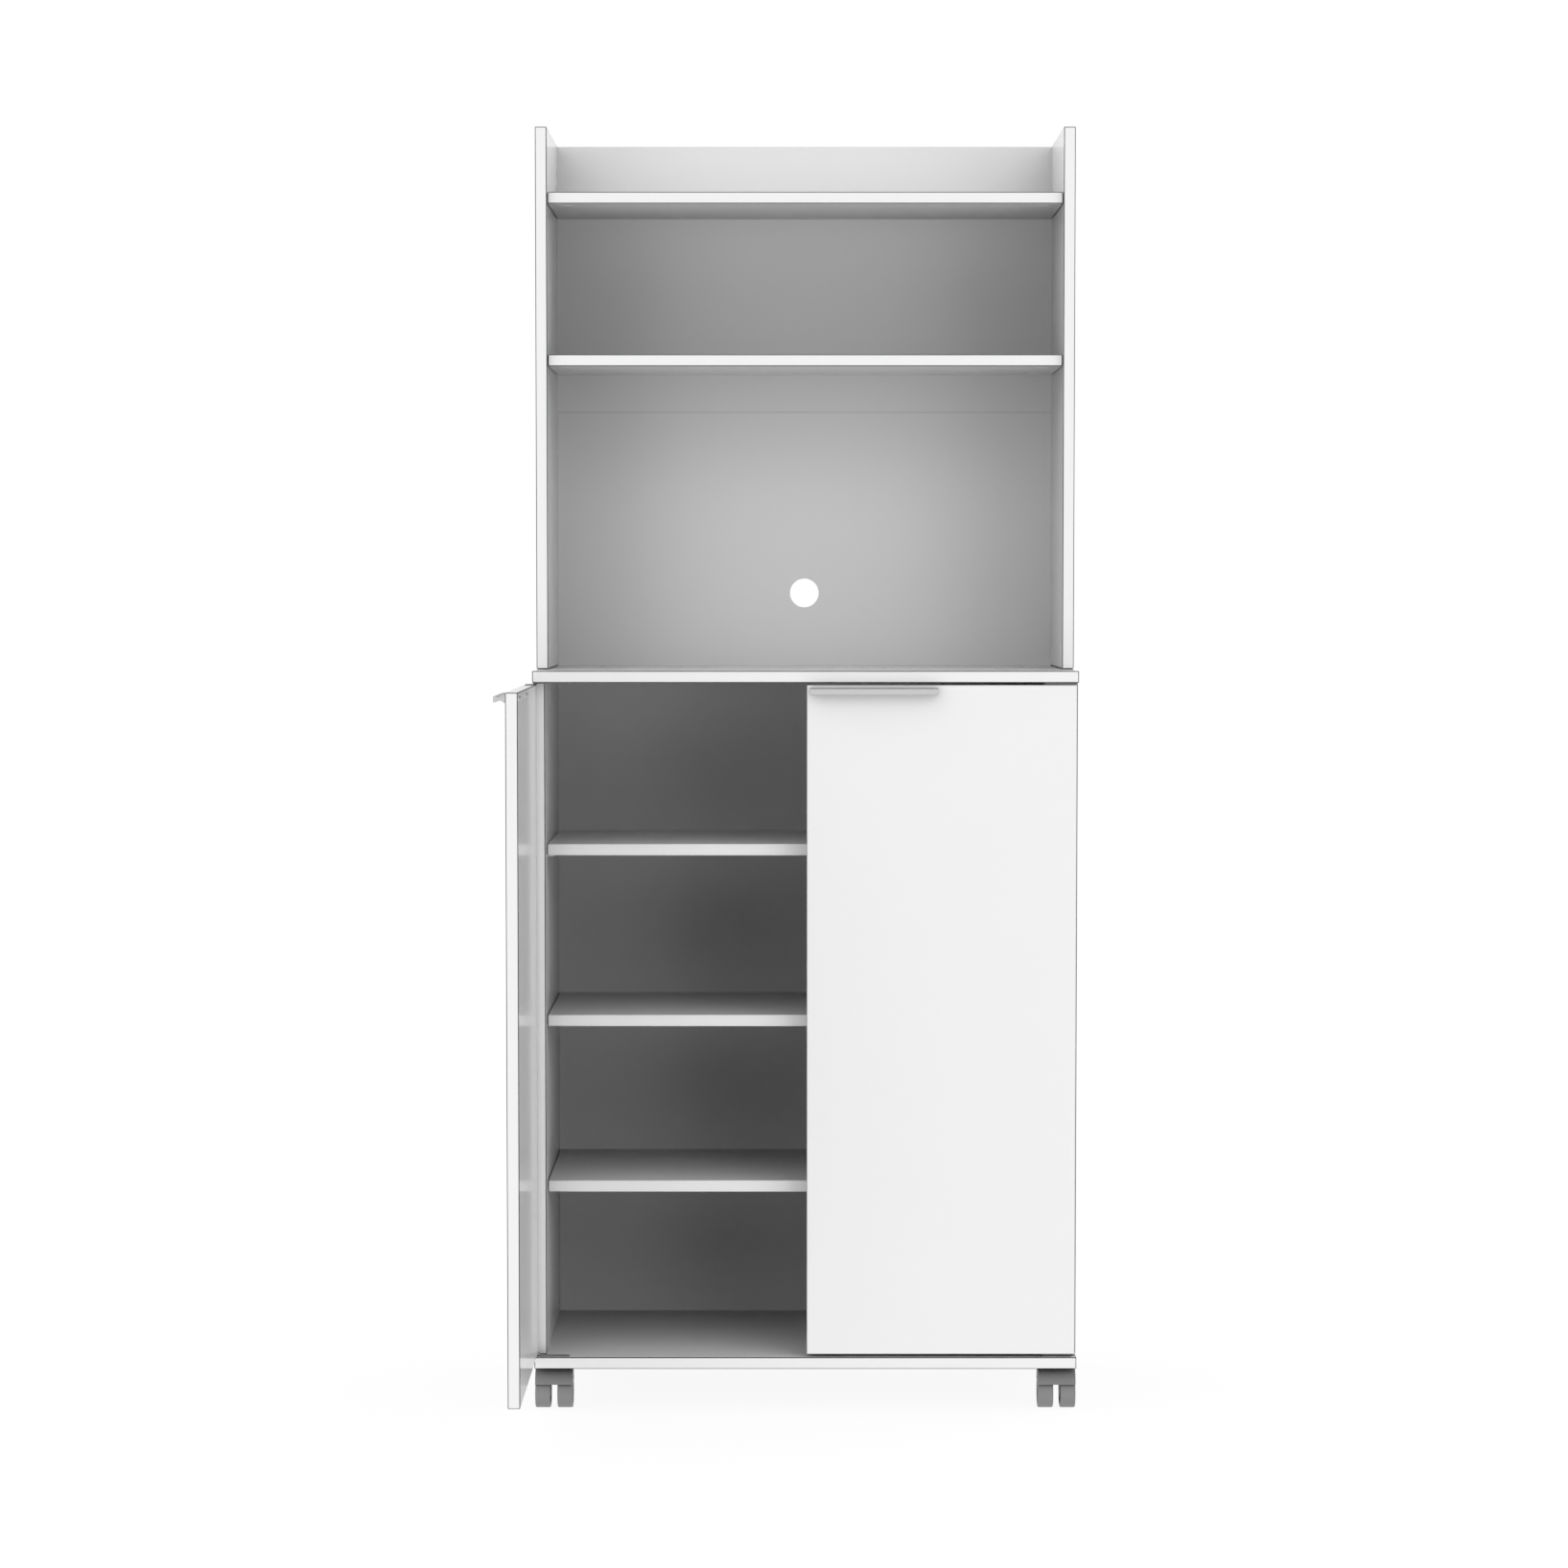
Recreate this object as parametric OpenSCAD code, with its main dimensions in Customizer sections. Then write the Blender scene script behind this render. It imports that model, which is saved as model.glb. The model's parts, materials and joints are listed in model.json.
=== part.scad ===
// Microwave cabinet on casters: a lower cabinet with two doors and three loose shelves, and an open
// hutch on its worktop with a microwave niche, a shelf bay and a top tray.
// X runs to the right, Y from the worktop's front edge to the wall, Z up from the floor.
// X = 0 is the middle of the cabinet. The left door stands open as it is shown, the right one is shut.

/* [Boards] */
// Thickness of every coated board
board_t = 15; // [13:0.5:20]
// Thickness of the back panels
back_t = 3; // [2.5:0.5:6]
// How far a back panel stands in from the outer faces of the sides
back_edge_inset = 1; // [0.5:0.5:4]

/* [Cabinet] */
// Width of the worktop and of the base panel
cabinet_w = 700; // [600:10:900]
// Depth of the worktop and of the base panel
cabinet_d = 322; // [310:1:400]
// Height of the lower side panels
lower_side_h = 871.5; // [840:0.5:1000]

/* [Doors] */
// Gap between a shut door and the front edges of the sides
door_to_side = 2; // [1.9:0.1:4]
// How far the front of a shut door stands behind the worktop's front edge
door_setback = 1.5; // [0.5:0.5:4]
// Gap above a door
door_top_gap = 3; // [2.9:0.1:5]
// Gap below a door
door_bottom_gap = 4; // [3.5:0.1:6]
// Gap where the two doors meet
door_meeting_gap = 3.5; // [2:0.5:6]
// How far a door's hinge edge stands in from the end of the worktop
door_end_inset = 2.1; // [1.9:0.1:3]
// How far the left door stands open, in degrees
left_door_open = 90; // [60:5:110]
// How far the right door stands open, in degrees
right_door_open = 0; // [0:5:110]

/* [Inner shelves] */
// Clear height under the lowest inner shelf
lower_bay_h = 208.3; // [180:0.1:215]
// Clear height between the lowest and the middle inner shelf
middle_bay_h = 201.2; // [180:0.1:215]
// Clear height between the middle and the highest inner shelf
upper_bay_h = 207.1; // [180:0.1:215]
// How far the inner shelves stand behind the front edges of the sides
inner_shelf_setback = 27; // [10:1:60]
// Gap between each end of an inner shelf and its side
inner_shelf_play = 0.5; // [0.3:0.1:1.5]
// Gap between an inner shelf and the back panel
inner_shelf_back_gap = 2; // [1:0.5:10]

/* [Hutch] */
// Depth of the hutch sides, whose rear edges are flush with the worktop's
hutch_d = 229; // [200:1:260]
// Height of the hutch sides above the worktop
hutch_side_h = 702; // [660:0.5:900]
// Clear height of the microwave niche
niche_h = 393.9; // [360:0.1:420]
// Clear height of the bay between the two hutch shelves
hutch_bay_h = 195; // [150:0.1:220]
// How far the hutch shelves stand behind the front edges of the hutch sides
hutch_shelf_setback = 7; // [2:1:25]
// Height above the worktop of the seam between the two hutch back panels
back_seam_rise = 343; // [200:1:355]
// Gap between two back panels where they meet
back_seam_gap = 0.8; // [0.4:0.1:3]
// Diameter of the cable hole
cable_hole_d = 39; // [25:1:80]
// Height of the cable hole's centre above the worktop
cable_hole_rise = 98.5; // [60:0.5:150]

/* [Handles] */
// Length of a handle
handle_l = 164; // [140:1:250]
// How far a handle starts from the door's meeting edge
handle_end_gap = 4; // [1:0.5:30]
// How far a handle stands out of its door
handle_projection = 14.8; // [13:0.1:25]
// Depth of the middle of a handle's foot below the top of the door
handle_drop = 8.1; // [5:0.1:40]
// Height of the foot that lies on the door
handle_foot_h = 8.4; // [7:0.1:12]
// Thickness of the foot
handle_foot_t = 2.3; // [1.5:0.1:3]
// Height of the front lip
handle_lip_h = 7; // [6:0.1:12]
// Thickness of the front lip
handle_lip_t = 2.5; // [1.5:0.1:4]
// Thickness of the web between foot and lip, at its thinnest
handle_web_t = 3.3; // [2.5:0.1:4]
// Distance between a handle's two screws
handle_screw_span = 128; // [64:32:128]

/* [Hinges] */
// Thickness of a hinge leaf
leaf_t = 1.3; // [1:0.1:1.4]
// Width of a leaf's arm
leaf_w = 9; // [7.5:0.5:10]
// Reach of a leaf's arm from the pin
leaf_l = 42; // [34:1:60]
// Radius of the eye round the pin
leaf_eye_r = 2.7; // [2.5:0.1:2.9]
// Radius of the hinge pin
hinge_pin_r = 1.25; // [0.9:0.05:1.4]
// How far the pin stands in from the door's hinge edge
pin_from_edge = 1; // [0.8:0.1:1.5]
// How far the pin stands in from the door's inner face
pin_from_face = 1; // [0.8:0.1:2]
// Clearance all round a pin in its bore
running_fit = 0.05; // [0.02:0.01:0.1]

/* [Fittings] */
// Clearance round whatever is pushed or screwed into a board
hole_fit = 0.05; // [0.02:0.01:0.1]
// Radius of a cam lock
cam_r = 7.4; // [6:0.1:8.5]
// Depth of a cam lock
cam_h = 12; // [10:0.5:12]
// Distance from a cam lock's centre to the end of its board
cam_reach = 24; // [20:1:34]
// Distance from the first and last fitting to the front and rear edges of a lower side
lower_fitting_inset = 60; // [58:1:80]
// The same distance on the hutch sides
hutch_fitting_inset = 45; // [35:1:60]
// Distance from a cam lock to its neighbouring dowel
dowel_spacing = 32; // [20:1:34]
// Radius of a dowel
dowel_r = 4; // [3:0.5:4]
// Depth of a dowel in the board that it stands square to
dowel_shallow = 10; // [6:0.5:11]
// Depth of a dowel in the end of the other board
dowel_deep = 20; // [12:1:25]
// Radius of a shelf pin
shelf_pin_r = 2.5; // [2:0.5:3.5]
// Depth of a shelf pin in the side
shelf_pin_deep = 8; // [6:0.5:10]
// Length of a shelf pin under the shelf
shelf_pin_out = 7; // [5:0.5:12]
// Distance from a shelf pin to the shelf's front and rear edges
shelf_pin_inset = 40; // [20:1:70]
// Radius of a back panel nail
nail_r = 0.7; // [0.5:0.1:1]
// Radius of a nail's head
nail_head_r = 2.2; // [1.5:0.1:3]
// Length of a nail under its head
nail_l = 18; // [12:1:25]

/* [Casters] */
// Height of a caster, from the floor to the base panel
caster_h = 55; // [54:0.5:70]
// Distance from a swivel pin to the nearer end of the base panel
kingpin_end_inset = 24.5; // [24:0.5:60]
// Distance from a swivel pin to the front or rear edge of the base panel
kingpin_edge_inset = 36; // [34:1:80]
// Distance from the swivel pin to the wheel axle
caster_trail = 10; // [6:0.5:11]
// Radius of a wheel
wheel_r = 20; // [18:0.5:20.5]
// Width of one wheel
wheel_w = 19.6; // [17:0.1:24]
// Gap between the two wheels of a caster
wheel_gap = 9.1; // [8.5:0.1:14]
// Height of the housing's lower edge above the axle
housing_rise = 13; // [11.5:0.1:13.5]
// Clearance between the wheels and the housing
wheel_clearance = 0.6; // [0.4:0.1:1]
// Radius of a wheel axle
axle_r = 3; // [2.5:0.1:3.5]
// Radius of the swivel pin
kingpin_r = 4; // [3:0.5:4]
// Width of the square mounting plate
plate_w = 42; // [38:1:46]
// Thickness of the mounting plate
plate_t = 1.8; // [1.5:0.1:2.5]

/* [Hidden] */
$fn = 48;
FINE = 96; // facets of the larger rounds
SIDES = [-1, 1];
over = 1; // how far a cut runs past the face that it opens
tip_gap = 0.5; // between the end of a pin or screw and the end of its bore
play = 0.1; // between two faces that turn against each other

// Heights of the boards
base_z = caster_h;
floor_z = base_z + board_t;
worktop_z = floor_z + lower_side_h;
worktop_top = worktop_z + board_t;
inner_shelf_z = [
    floor_z + lower_bay_h,
    floor_z + lower_bay_h + board_t + middle_bay_h,
    floor_z + lower_bay_h + 2 * board_t + middle_bay_h + upper_bay_h
];
hutch_shelf_z = [worktop_top + niche_h, worktop_top + niche_h + board_t + hutch_bay_h];
hutch_top = worktop_top + hutch_side_h;

// Places of the sides, the doors and the hutch
side_out = cabinet_w / 2;
side_in = side_out - board_t;
side_mid = side_out - board_t / 2;
door_back = door_setback + board_t;
side_front = door_back + door_to_side;
door_in = door_meeting_gap / 2;
door_out = cabinet_w / 2 - door_end_inset;
door_z = floor_z + door_bottom_gap;
door_top = worktop_z - door_top_gap;
door_mid = door_setback + board_t / 2;
hutch_front = cabinet_d - hutch_d;

// Back panels: the lower one covers the worktop's rear edge down from back_split
back_out = side_out - back_edge_inset;
back_split = worktop_top - back_edge_inset;
back_seam = worktop_top + back_seam_rise;

// Hinge axis of the right door; the left one mirrors it
pivot_x = door_out - pin_from_edge;
pivot_y = door_back - pin_from_face;
leaf_flank = 20; // angle at which the arm's outer flank runs into the eye
washer_t = door_bottom_gap - 2 * leaf_t - 2 * running_fit;
hinge_screw_r = 1.5;
hinge_screw_head_r = 2.8;
hinge_screw_l = 12;
hinge_screw_steps = [6, 22]; // distances of the screws from the arm's tip
hinge_screw_x = [for (step = hinge_screw_steps) pivot_x - leaf_l + step];

// Handle profile: each scoop is the arc that takes foot and lip down to the web
handle_x = door_in + handle_end_gap;
handle_z = door_top - handle_drop;
scoop_half = (handle_projection - handle_foot_t - handle_lip_t) / 2;
scoop_deep = (handle_foot_h + handle_lip_h) / 4 - handle_web_t / 2;
scoop_r = (scoop_half * scoop_half + scoop_deep * scoop_deep) / (2 * scoop_deep);
handle_screw_r = 1.75;
handle_screw_bite = 5.5;
handle_screw_head_r = 3.5;
handle_screw_head_h = 2.2;
handle_screw_x = [for (s = SIDES) handle_x + handle_l / 2 + s * handle_screw_span / 2];

// Cam lock and bolt: the bolt's head sits in the cam's hollow, its thread in the other board
bolt_thread_r = 2.5;
bolt_thread_l = 11;
bolt_shank_r = 3;
bolt_neck_r = 1.8;
bolt_head_r = 2.9;
bolt_head_l = 4;
cam_hollow_r = 4.8;
cam_hollow_h = 7;
cam_cross_w = 1.6;
cam_cross_l = 8;
cam_cross_deep = 1.5;
cam_play = 0.3; // between the bolt and the hollows of the cam

// Places along the depth of the cams and of the dowels
base_cam_y = [side_front + lower_fitting_inset, cabinet_d - lower_fitting_inset];
base_dowel_y = [base_cam_y[0] + dowel_spacing, base_cam_y[1] - dowel_spacing];
hutch_cam_y = [hutch_front + hutch_fitting_inset, cabinet_d - hutch_fitting_inset];
hutch_dowel_y = [hutch_cam_y[0] + dowel_spacing, hutch_cam_y[1] - dowel_spacing];

// A fitting place: its point on the joint, the way into the board with the cam, the cam's face
function base_places(ys) =
    [for (s = SIDES) for (y = ys) [[s * side_mid, y, floor_z], [0, 0, 1], [-s, 0, 0]]];
function worktop_places(ys) =
    [for (s = SIDES) for (y = ys) [[s * side_mid, y, worktop_z], [0, 0, -1], [-s, 0, 0]]];
function hutch_places(ys) =
    [for (s = SIDES) for (y = ys) [[s * side_mid, y, worktop_top], [0, 0, 1], [-s, 0, 0]]];
function shelf_places(ys, z) =
    [for (s = SIDES) for (y = ys) [[s * side_in, y, z + board_t / 2], [-s, 0, 0], [0, 0, -1]]];
function all_places(base_y, hutch_y) = concat(
    base_places(base_y), worktop_places(hutch_y), hutch_places(hutch_y),
    shelf_places(hutch_y, hutch_shelf_z[0]), shelf_places(hutch_y, hutch_shelf_z[1]));

// Shelf pins lie just under their shelf
inner_shelf_front = side_front + inner_shelf_setback;
inner_shelf_back = cabinet_d - inner_shelf_back_gap;
shelf_pin_y = [inner_shelf_front + shelf_pin_inset, inner_shelf_back - shelf_pin_inset];
shelf_pin_places =
    [for (s = SIDES) for (y = shelf_pin_y) for (z = inner_shelf_z) [s, y, z - shelf_pin_r]];

// Nails, as [x, z], in the middle of the board's edge behind each panel
nail_margin = 40;
nail_head_t = 0.5;
function spread(a, b, n) = [for (i = [0:n - 1]) a + (b - a) * i / (n - 1)];
function side_nails(z0, z1, n) =
    [for (s = SIDES) for (z = spread(z0 + nail_margin, z1 - nail_margin, n)) [s * side_mid, z]];
function board_nails(z) = [for (x = spread(-side_in / 2, side_in / 2, 3)) [x, z + board_t / 2]];
lower_nails = concat(side_nails(floor_z, worktop_z, 6), board_nails(base_z), board_nails(worktop_z));
hutch_lower_nails = side_nails(worktop_top, back_seam, 3);
hutch_upper_nails = concat(
    side_nails(back_seam, hutch_top, 3), board_nails(hutch_shelf_z[0]), board_nails(hutch_shelf_z[1]));

// Casters, as [name, side, depth of the swivel pin]; every wheel trails towards the front
caster_x = cabinet_w / 2 - kingpin_end_inset;
rear_kingpin_y = cabinet_d - kingpin_edge_inset;
CASTERS = [
    ["front_left", -1, kingpin_edge_inset], ["front_right", 1, kingpin_edge_inset],
    ["rear_left", -1, rear_kingpin_y], ["rear_right", 1, rear_kingpin_y]
];
plate_z = base_z - plate_t;
plate_corner_r = 4;
plate_screw_inset = 5.5;
plate_screw = plate_w / 2 - plate_screw_inset;
plate_screw_r = 1.75;
plate_screw_head_r = 3.4;
plate_screw_l = 12;
kingpin_flange_r = kingpin_r + 2.5;
kingpin_flange_t = 0.9;
kingpin_end = 2 * wheel_r + wheel_clearance;

// Caster housing: hood, boss round the swivel pin, rib between the wheels, two arms
hood_gap = 0.5; // between the hood's top and the plate
housing_z = wheel_r + housing_rise;
housing_r = plate_z - hood_gap - housing_z;
housing_half = wheel_gap / 2 + wheel_w;
boss_r = 9;
boss_h = 9;
rib_gap = 0.4; // between the rib or an arm and a wheel
rib_half = wheel_gap / 2 - rib_gap;
arm_t = 2.1;
arm_tip_r = 6.5;
arm_out = rib_half + arm_t;

// Caster wheel and axle: the inner face is dished round the arm, the outer face sunk round the hub
rim_t = 4;
dish_r = wheel_r - rim_t;
arm_edge_r = dish_r - rib_gap;
collar_t = 0.3;
collar_r = axle_r + 1.2;
dish_floor = arm_out + collar_t + play;
wheel_edge = 1;
face_deep = 1.2;
hub_r = axle_r + 3.8;
hub_set = 0.2; // how far the hub stands behind the rim
axle_head_r = axle_r + 1.6;
axle_head_t = 1.2;
axle_head_gap = 0.5; // round the axle's head in its recess
hub_floor = housing_half - 3.2;
CASTER_PIECES = ["plate", "housing", "axles", "left_wheel", "right_wheel"];

// A board between two corners
module board(low, high) {
    translate(low) cube(high - low);
}

// Children on the right and mirrored on the left
module both_sides() {
    children();
    mirror([1, 0, 0]) children();
}

// Children made for the right stay there, or go to the left
module on_side(side) {
    if (side > 0) children();
    else mirror([1, 0, 0]) children();
}

// Children made for the shut right door, on the door of that side as it stands
module on_door(side) {
    angle = side > 0 ? right_door_open : left_door_open;
    on_side(side)
        translate([pivot_x, pivot_y, 0])
            rotate([0, 0, angle])
                translate([-pivot_x, -pivot_y, 0]) children();
}

// Children with Z along the fitting's bolt and X towards the cam's face, at each place
module at_places(places) {
    for (place = places) {
        at = place[0];
        z = place[1];
        x = place[2];
        y = cross(z, x);
        multmatrix([
            [x[0], y[0], z[0], at[0]],
            [x[1], y[1], z[1], at[1]],
            [x[2], y[2], z[2], at[2]],
            [0, 0, 0, 1]
        ]) children();
    }
}

// The bores that one cam lock and its bolt need in the two boards
module cam_bores() {
    translate([0, 0, -bolt_thread_l - tip_gap])
        cylinder(r = bolt_thread_r + hole_fit, h = bolt_thread_l + tip_gap);
    cylinder(r = bolt_shank_r + hole_fit, h = cam_reach);
    translate([board_t / 2 - cam_h - hole_fit, 0, cam_reach])
        rotate([0, 90, 0]) cylinder(r = cam_r + hole_fit, h = cam_h + hole_fit + over);
}

module cam_bolt() {
    shank_end = cam_reach - cam_r - tip_gap;
    head_z = cam_reach - bolt_head_l / 2;
    translate([0, 0, -bolt_thread_l]) cylinder(r = bolt_thread_r, h = bolt_thread_l);
    cylinder(r = bolt_shank_r, h = shank_end);
    cylinder(r = bolt_neck_r, h = head_z + over);
    translate([0, 0, head_z]) cylinder(r = bolt_head_r, h = bolt_head_l);
}

// Hollow for the bolt's head, a slot for its neck, and a wide mouth a quarter turn away
module cam_lock() {
    translate([0, 0, cam_reach]) difference() {
        translate([board_t / 2 - cam_h, 0, 0]) rotate([0, 90, 0]) cylinder(r = cam_r, h = cam_h);
        translate([-cam_hollow_h / 2, 0, 0]) rotate([0, 90, 0])
            cylinder(r = cam_hollow_r, h = cam_hollow_h);
        translate([0, 0, -cam_r - over]) cylinder(r = bolt_neck_r + cam_play, h = cam_r + over);
        rotate([90, 0, 0]) cylinder(r = bolt_head_r + cam_play, h = cam_r + over);
        for (turn = [45, 135])
            translate([board_t / 2 - cam_cross_deep, 0, 0]) rotate([turn, 0, 0])
                translate([0, -cam_cross_l / 2, -cam_cross_w / 2])
                    cube([cam_cross_deep + over, cam_cross_l, cam_cross_w]);
    }
}

module dowel() {
    tip = 1;
    translate([0, 0, -dowel_shallow]) cylinder(r1 = dowel_r - tip / 2, r2 = dowel_r, h = tip);
    translate([0, 0, tip - dowel_shallow])
        cylinder(r = dowel_r, h = dowel_shallow + dowel_deep - 2 * tip);
    translate([0, 0, dowel_deep - tip]) cylinder(r1 = dowel_r, r2 = dowel_r - tip / 2, h = tip);
}

module dowel_bore() {
    translate([0, 0, -dowel_shallow - tip_gap])
        cylinder(r = dowel_r + hole_fit, h = dowel_shallow + dowel_deep + 2 * tip_gap);
}

// The bores of every cam, bolt and dowel, to be taken out of a board
module base_joint_bores() {
    at_places(base_places(base_cam_y)) cam_bores();
    at_places(base_places(base_dowel_y)) dowel_bore();
}

module worktop_joint_bores() {
    at_places(worktop_places(hutch_cam_y)) cam_bores();
    at_places(worktop_places(hutch_dowel_y)) dowel_bore();
}

module hutch_joint_bores() {
    at_places(hutch_places(hutch_cam_y)) cam_bores();
    at_places(hutch_places(hutch_dowel_y)) dowel_bore();
}

module shelf_joint_bores(z) {
    at_places(shelf_places(hutch_cam_y, z)) cam_bores();
    at_places(shelf_places(hutch_dowel_y, z)) dowel_bore();
}

module cam_locks() color("lightgray") at_places(all_places(base_cam_y, hutch_cam_y)) cam_lock();
module cam_bolts() color("silver") at_places(all_places(base_cam_y, hutch_cam_y)) cam_bolt();
module dowels() color("burlywood") at_places(all_places(base_dowel_y, hutch_dowel_y)) dowel();

// Shelf pins and the holes that they are pushed into
module shelf_pin_row(r, deep, out) {
    for (p = shelf_pin_places)
        translate([p[0] * side_in, p[1], p[2]]) rotate([0, p[0] * 90, 0])
            translate([0, 0, -out]) cylinder(r = r, h = deep + out);
}

module shelf_pins() color("silver") shelf_pin_row(shelf_pin_r, shelf_pin_deep, shelf_pin_out);
module shelf_pin_bores() shelf_pin_row(shelf_pin_r + hole_fit, shelf_pin_deep + tip_gap, over);

// Nails through a back panel into the boards' rear edges
module nail_row(nails, r, l) {
    for (n = nails) translate([n[0], cabinet_d + back_t, n[1]]) rotate([90, 0, 0])
        cylinder(r = r, h = l);
}

module nail_bores(nails) {
    nail_row(nails, nail_r + hole_fit, nail_l + tip_gap);
}

module back_nails() {
    nails = concat(lower_nails, hutch_lower_nails, hutch_upper_nails);
    color("silver") {
        nail_row(nails, nail_r, nail_l);
        translate([0, nail_head_t, 0]) nail_row(nails, nail_head_r, nail_head_t);
    }
}

// A countersunk screw that points down, its head flush with z = 0
module countersunk_screw(r, head_r, l) {
    sink = head_r - r;
    translate([0, 0, -sink]) cylinder(r1 = r, r2 = head_r, h = sink);
    translate([0, 0, -l]) cylinder(r = r, h = l - sink / 2);
}

// Holes in the boards for the screws of hinges and casters
module hinge_screw_bores(z, up) {
    for (x = hinge_screw_x)
        translate([x, door_mid, z]) mirror([0, 0, up ? 1 : 0]) translate([0, 0, -hinge_screw_l])
            cylinder(r = hinge_screw_r + hole_fit, h = hinge_screw_l + over);
}

module caster_screw_places() {
    for (c = CASTERS) for (x = SIDES) for (y = SIDES)
        translate([c[1] * caster_x + x * plate_screw, c[2] + y * plate_screw, plate_z]) children();
}

// Lower cabinet
module base_panel() {
    color("white") difference() {
        board([-cabinet_w / 2, 0, base_z], [cabinet_w / 2, cabinet_d, floor_z]);
        base_joint_bores();
        nail_bores(lower_nails);
        both_sides() hinge_screw_bores(floor_z, false);
        caster_screw_places() cylinder(r = plate_screw_r + hole_fit, h = plate_screw_l + tip_gap);
    }
}

module lower_side(side) {
    color("white") difference() {
        on_side(side) board([side_in, side_front, floor_z], [side_out, cabinet_d, worktop_z]);
        base_joint_bores();
        worktop_joint_bores();
        shelf_pin_bores();
        nail_bores(lower_nails);
    }
}

module worktop() {
    color("white") difference() {
        board([-cabinet_w / 2, 0, worktop_z], [cabinet_w / 2, cabinet_d, worktop_top]);
        worktop_joint_bores();
        hutch_joint_bores();
        nail_bores(lower_nails);
        both_sides() hinge_screw_bores(worktop_z, true);
    }
}

module inner_shelf(z) {
    x = side_in - inner_shelf_play;
    color("white") board([-x, inner_shelf_front, z], [x, inner_shelf_back, z + board_t]);
}

module back_panel(z0, z1, nails) {
    color("white") difference() {
        board([-back_out, cabinet_d, z0], [back_out, cabinet_d + back_t, z1]);
        nail_bores(nails);
        translate([0, cabinet_d - over, worktop_top + cable_hole_rise]) rotate([-90, 0, 0])
            cylinder(d = cable_hole_d, h = back_t + 2 * over, $fn = FINE);
    }
}

// Hutch
module hutch_side(side) {
    color("white") difference() {
        on_side(side) board([side_in, hutch_front, worktop_top], [side_out, cabinet_d, hutch_top]);
        hutch_joint_bores();
        for (z = hutch_shelf_z) shelf_joint_bores(z);
        nail_bores(concat(hutch_lower_nails, hutch_upper_nails));
    }
}

module hutch_shelf(z) {
    front = hutch_front + hutch_shelf_setback;
    color("white") difference() {
        board([-side_in, front, z], [side_in, cabinet_d, z + board_t]);
        shelf_joint_bores(z);
        nail_bores(hutch_upper_nails);
    }
}

// Offset knife hinge: a flat arm along the door's edge, and an eye at the door's corner
module leaf_outline() {
    arm_low = door_mid - leaf_w / 2;
    arm_high = door_mid + leaf_w / 2;
    translate([pivot_x - leaf_l + leaf_w / 2, door_mid]) circle(d = leaf_w);
    translate([pivot_x - leaf_l + leaf_w / 2, arm_low]) square([leaf_l - leaf_w, leaf_w]);
    translate([pivot_x, pivot_y]) circle(r = leaf_eye_r);
    polygon([
        [pivot_x - leaf_w, arm_low], [pivot_x - leaf_w / 2, arm_low],
        [pivot_x + leaf_eye_r * cos(leaf_flank), pivot_y - leaf_eye_r * sin(leaf_flank)],
        [pivot_x, pivot_y + leaf_eye_r], [pivot_x - leaf_w, arm_high]
    ]);
}

// A leaf with its plain face at z = 0 and its countersinks open towards -z
module hinge_leaf() {
    difference() {
        linear_extrude(leaf_t) leaf_outline();
        translate([pivot_x, pivot_y, -over])
            cylinder(r = hinge_pin_r + running_fit, h = leaf_t + 2 * over);
        for (x = hinge_screw_x) translate([x, door_mid, 0]) mirror([0, 0, 1]) {
            countersunk_screw(hinge_screw_r + hole_fit, hinge_screw_head_r + hole_fit, leaf_t + over);
            cylinder(r = hinge_screw_head_r + hole_fit, h = over);
        }
    }
}

module top_cabinet_leaf(side) {
    color("dimgray") on_side(side) translate([0, 0, worktop_z - leaf_t]) hinge_leaf();
}

module bottom_cabinet_leaf(side) {
    color("dimgray") on_side(side) translate([0, 0, floor_z + leaf_t]) mirror([0, 0, 1]) hinge_leaf();
}

module top_door_leaf(side) {
    color("dimgray") on_door(side) translate([0, 0, door_top + leaf_t]) mirror([0, 0, 1]) hinge_leaf();
}

module bottom_door_leaf(side) {
    color("dimgray") on_door(side) translate([0, 0, door_z - leaf_t]) hinge_leaf();
}

module hinge_pins() {
    color("dimgray") both_sides() translate([pivot_x, pivot_y, 0]) {
        translate([0, 0, door_top + running_fit])
            cylinder(r = hinge_pin_r, h = door_top_gap - running_fit);
        translate([0, 0, floor_z]) cylinder(r = hinge_pin_r, h = door_bottom_gap - running_fit);
    }
}

module hinge_washers() {
    color("white") both_sides() translate([pivot_x, pivot_y, floor_z + leaf_t])
        difference() {
            cylinder(r = leaf_eye_r, h = washer_t);
            translate([0, 0, -over])
                cylinder(r = hinge_pin_r + running_fit, h = washer_t + 2 * over);
        }
}

module cabinet_hinge_screws() {
    color("dimgray") both_sides() for (x = hinge_screw_x) {
        translate([x, door_mid, floor_z + leaf_t])
            countersunk_screw(hinge_screw_r, hinge_screw_head_r, hinge_screw_l);
        translate([x, door_mid, worktop_z - leaf_t]) mirror([0, 0, 1])
            countersunk_screw(hinge_screw_r, hinge_screw_head_r, hinge_screw_l);
    }
}

module door_hinge_screws(side) {
    color("dimgray") on_door(side) for (x = hinge_screw_x) {
        translate([x, door_mid, door_top + leaf_t])
            countersunk_screw(hinge_screw_r, hinge_screw_head_r, hinge_screw_l);
        translate([x, door_mid, door_z - leaf_t]) mirror([0, 0, 1])
            countersunk_screw(hinge_screw_r, hinge_screw_head_r, hinge_screw_l);
    }
}

// Door
module handle_screw_shafts(y0, y1, r) {
    for (x = handle_screw_x)
        translate([x, y1, handle_z]) rotate([90, 0, 0]) cylinder(r = r, h = y1 - y0);
}

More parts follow.
